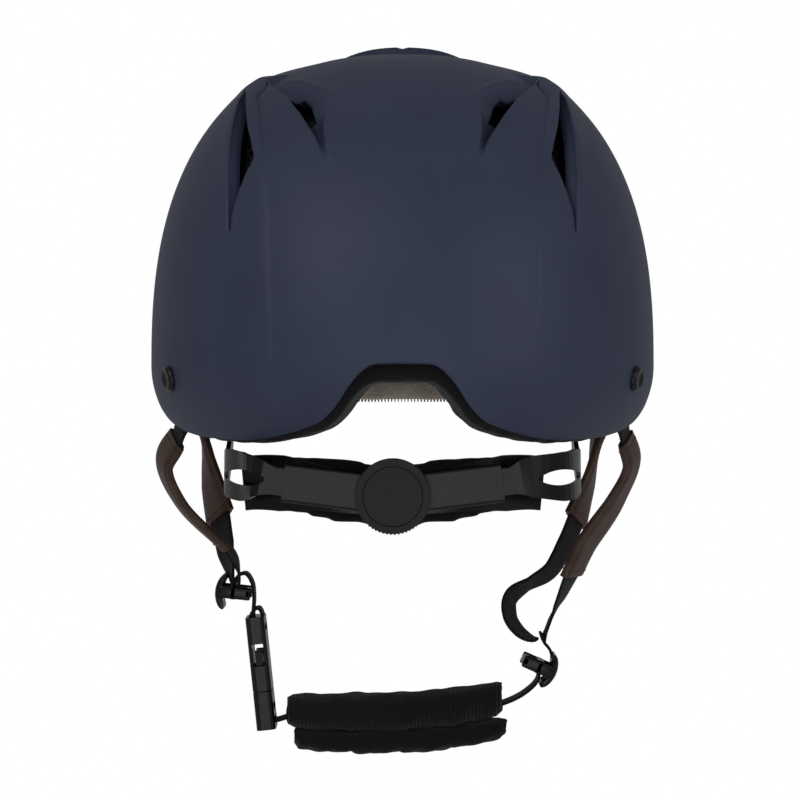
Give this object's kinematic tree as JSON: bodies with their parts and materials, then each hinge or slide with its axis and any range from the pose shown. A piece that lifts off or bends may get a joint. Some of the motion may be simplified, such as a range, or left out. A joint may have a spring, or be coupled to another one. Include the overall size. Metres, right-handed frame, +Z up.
{
  "type": "equestrian riding helmet",
  "caption": "Riding helmet with a vented shell, foam liner, dial-fit nape cradle, leather-sleeved straps, side-release buckle and padded chin strap.",
  "frame": {"origin": "centre of the head opening at the level of the brow", "axes": "+X to the wearer's right, +Y to the face, +Z up"},
  "size_m": [0.222, 0.3114, 0.3125],
  "materials": {
    "shell": "matte",
    "foam": "matte",
    "flock": "flocked",
    "mesh": "matte",
    "peak": "matte",
    "rivet": "satin black",
    "washer": "plain",
    "webbing": "ribbed nylon",
    "leather": "smooth, stitched",
    "black_plastic": "satin",
    "knob": "fine matte",
    "beige_fabric": "knit",
    "black_fabric": "knit",
    "steel": "plain"
  },
  "bodies": {
    "helmet": {"outer_shell": "shell", "impact_liner": "foam", "edge_binding": "flock", "peak": "peak", "vent_mesh_left": "mesh", "vent_mesh_right": "mesh", "strap_rivets": "rivet", "rivet_backs": "washer", "side_pad_left": "black_fabric", "side_pad_right": "black_fabric", "hook_dots": "black_fabric", "cradle_studs": "black_plastic", "strap_front_left": "webbing", "strap_front_right": "webbing", "strap_rear_left": "webbing", "strap_rear_right": "webbing", "leather_front_left": "leather", "leather_front_right": "leather", "leather_rear_left": "leather", "leather_rear_right": "leather", "divider_left": "black_plastic", "buckle_webbing": "webbing", "buckle_socket": "black_plastic"},
    "comfort_liner": {"brow_pad": "beige_fabric", "crown_pad": "black_fabric", "liner_webs": "black_fabric"},
    "cradle": {"dial_housing": "black_plastic", "housing_cover": "black_plastic", "ratchet_ring": "black_plastic", "pad_carrier": "black_plastic", "nape_pad": "black_fabric"},
    "arm_left": {"cradle_arm_left": "black_plastic"},
    "arm_right": {"cradle_arm_right": "black_plastic"},
    "dial": {"dial_knob": "knob", "dial_cap": "knob", "dial_pinion": "black_plastic", "dial_screw": "steel"},
    "chin_strap": {"divider_right": "black_plastic", "chin_webbing": "webbing", "chin_sleeve": "black_fabric", "chin_cushion": "black_fabric", "buckle_tongue": "black_plastic"},
    "prong_rear": {"prong_rear": "black_plastic"},
    "prong_front": {"prong_front": "black_plastic"}
  },
  "joints": [
    {"name": "cradle_tilt", "type": "hinge", "parent": "helmet", "child": "cradle", "pos_m": [0, 0.004, 0.026], "axis": [1, 0, 0], "range_deg": [-2, 12]},
    {"name": "dial_turn", "type": "hinge", "parent": "cradle", "child": "dial", "pos_m": [-0.004, -0.108, -0.039], "axis": [0, 1, 0], "range_deg": [-47, 111]},
    {"name": "arm_left_slide", "type": "slide", "parent": "cradle", "child": "arm_left", "axis": [-0.9925, 0, 0.1219], "range_m": [-0.003, 0.007]},
    {"name": "arm_right_slide", "type": "slide", "parent": "cradle", "child": "arm_right", "axis": [0.9925, 0, 0.1219], "range_m": [-0.003, 0.007]},
    {"name": "comfort_liner_pull", "type": "slide", "parent": "helmet", "child": "comfort_liner", "axis": [0, 0, -1], "range_m": [0, 0.15]},
    {"name": "chin_strap_swing", "type": "hinge", "parent": "helmet", "child": "chin_strap", "pos_m": [0.062, 0.009, -0.106], "axis": [0, -1, 0], "range_deg": [0, 75]},
    {"name": "prong_rear_squeeze", "type": "hinge", "parent": "chin_strap", "child": "prong_rear", "pos_m": [-0.06225, 0.0025, -0.1327], "axis": [0.9945, 0, 0.1045], "range_deg": [-6, 0], "stiffness_Nm_per_rad": 0.05},
    {"name": "prong_front_squeeze", "type": "hinge", "parent": "chin_strap", "child": "prong_front", "pos_m": [-0.06225, 0.0155, -0.1327], "axis": [0.9945, 0, 0.1045], "range_deg": [0, 6], "stiffness_Nm_per_rad": 0.05}
  ],
  "couplings": [
    {"joint": "arm_left_slide", "follows": "dial_turn", "m_per_rad": 0.0036},
    {"joint": "arm_right_slide", "follows": "dial_turn", "m_per_rad": 0.0036},
    {"joint": "prong_front_squeeze", "follows": "prong_rear_squeeze", "ratio": -1}
  ]
}
